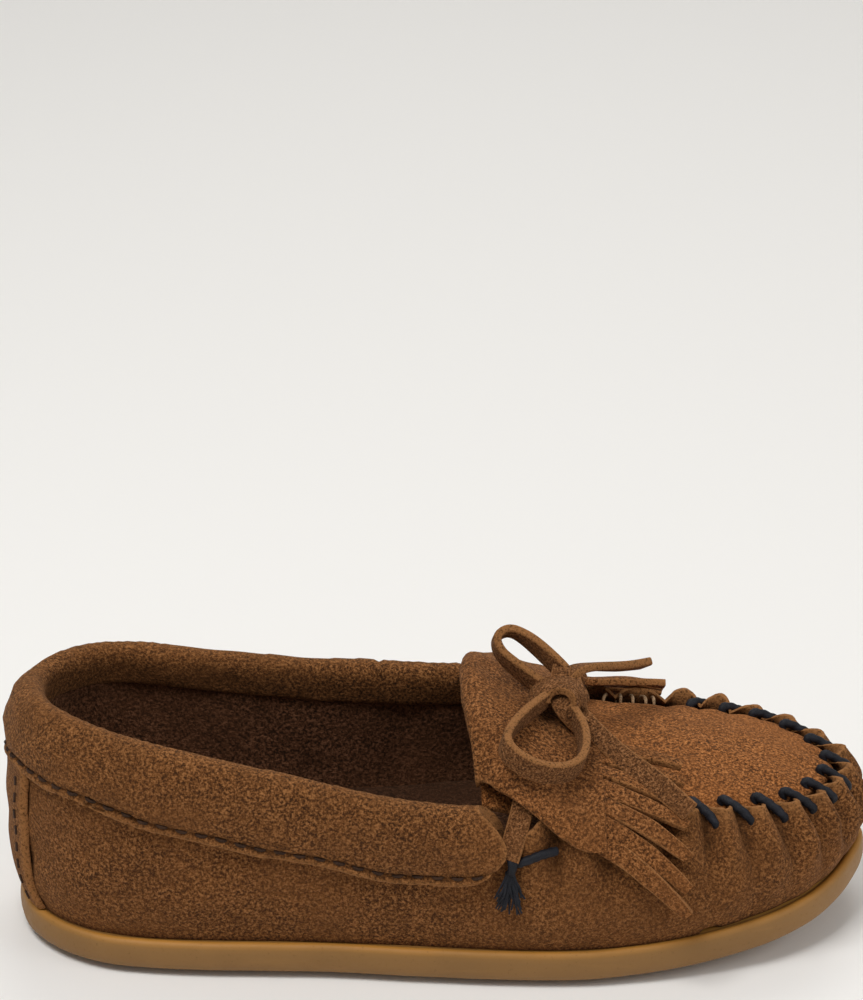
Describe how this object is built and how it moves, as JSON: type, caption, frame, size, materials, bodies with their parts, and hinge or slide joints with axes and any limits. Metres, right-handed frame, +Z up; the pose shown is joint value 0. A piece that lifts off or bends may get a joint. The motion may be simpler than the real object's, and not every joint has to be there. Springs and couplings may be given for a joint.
{
  "type": "moccasin",
  "caption": "Child's hard-sole suede moccasin with a rubber tread sole, folded collar, whip-stitched toe plug, fringed kiltie and a thong bow.",
  "frame": {"origin": "on the floor, at the foot of the tread stud under the middle of the arch", "axes": "+X towards the toe, +Y towards the inner side of the foot, +Z up"},
  "size_m": [0.187, 0.0757, 0.0675],
  "materials": {
    "upper_suede": "brushed brown suede, matt",
    "plug_suede": "brushed red-brown suede, matt",
    "thong_suede": "brown suede thong, matt",
    "lining_suede": "dark brown suede flesh side, matt",
    "sole_rubber": "honey gum rubber, satin",
    "filler_felt": "felt, matt",
    "board_fibre": "fibre board, matt",
    "foam": "foam, matt",
    "counter_fibre": "stiffened fibre, matt",
    "waxed_thread": "dark waxed braided thread, low sheen",
    "fine_thread": "brown sewing thread, matt"
  },
  "bodies": {
    "shoe": {"outsole": "sole_rubber", "side_wall": "upper_suede", "midsole_filler": "filler_felt", "insole_board": "board_fibre", "insole_foam": "foam", "sock_lining": "lining_suede", "heel_backstay": "upper_suede", "heel_counter": "counter_fibre", "heel_lining": "lining_suede", "collar": "upper_suede", "lace_collar_run": "thong_suede", "toe_plug": "plug_suede", "kiltie": "upper_suede", "fringe_middle": "upper_suede", "lace_run_near": "thong_suede", "lace_run_far": "thong_suede", "lace_knot": "thong_suede", "collar_stitching": "fine_thread", "backstay_stitching": "fine_thread", "plug_seam_thread": "fine_thread", "thread_knot_near": "waxed_thread", "thread_knot_far": "waxed_thread", "toe_whip_stitches": "waxed_thread"},
    "fringe_near_strands": {"fringe_near": "upper_suede"},
    "fringe_far_strands": {"fringe_far": "upper_suede"},
    "bow_loop_near": {"loop_near": "thong_suede"},
    "bow_loop_far": {"loop_far": "thong_suede"},
    "bow_tail_near": {"tail_near": "thong_suede"},
    "bow_tail_far": {"tail_far": "thong_suede"}
  },
  "joints": [
    {"name": "fringe_near_lift", "type": "hinge", "parent": "shoe", "child": "fringe_near_strands", "pos_m": [0.03315, -0.03229, 0.03888], "axis": [0, -0.7464, -0.6655], "range_deg": [0, 30]},
    {"name": "fringe_far_lift", "type": "hinge", "parent": "shoe", "child": "fringe_far_strands", "pos_m": [0.03315, 0.02859, 0.04014], "axis": [0, -0.8261, 0.5635], "range_deg": [0, 30]},
    {"name": "loop_near_lift", "type": "hinge", "parent": "shoe", "child": "bow_loop_near", "pos_m": [0.024, -0.004, 0.0543], "axis": [-0.9412, 0.0006, 0.3378], "range_deg": [0, 20]},
    {"name": "loop_far_swing", "type": "hinge", "parent": "shoe", "child": "bow_loop_far", "pos_m": [0.024, -0.004, 0.0526], "axis": [1, 0, 0], "range_deg": [-9, 12]},
    {"name": "tail_near_lift", "type": "hinge", "parent": "shoe", "child": "bow_tail_near", "pos_m": [0.024, -0.004, 0.0526], "axis": [-0.6369, -0.7709, 0], "range_deg": [0, 18]},
    {"name": "tail_far_lift", "type": "hinge", "parent": "shoe", "child": "bow_tail_far", "pos_m": [0.024, -0.004, 0.0526], "axis": [0.6691, -0.7431, 0], "range_deg": [-5, 9]}
  ]
}
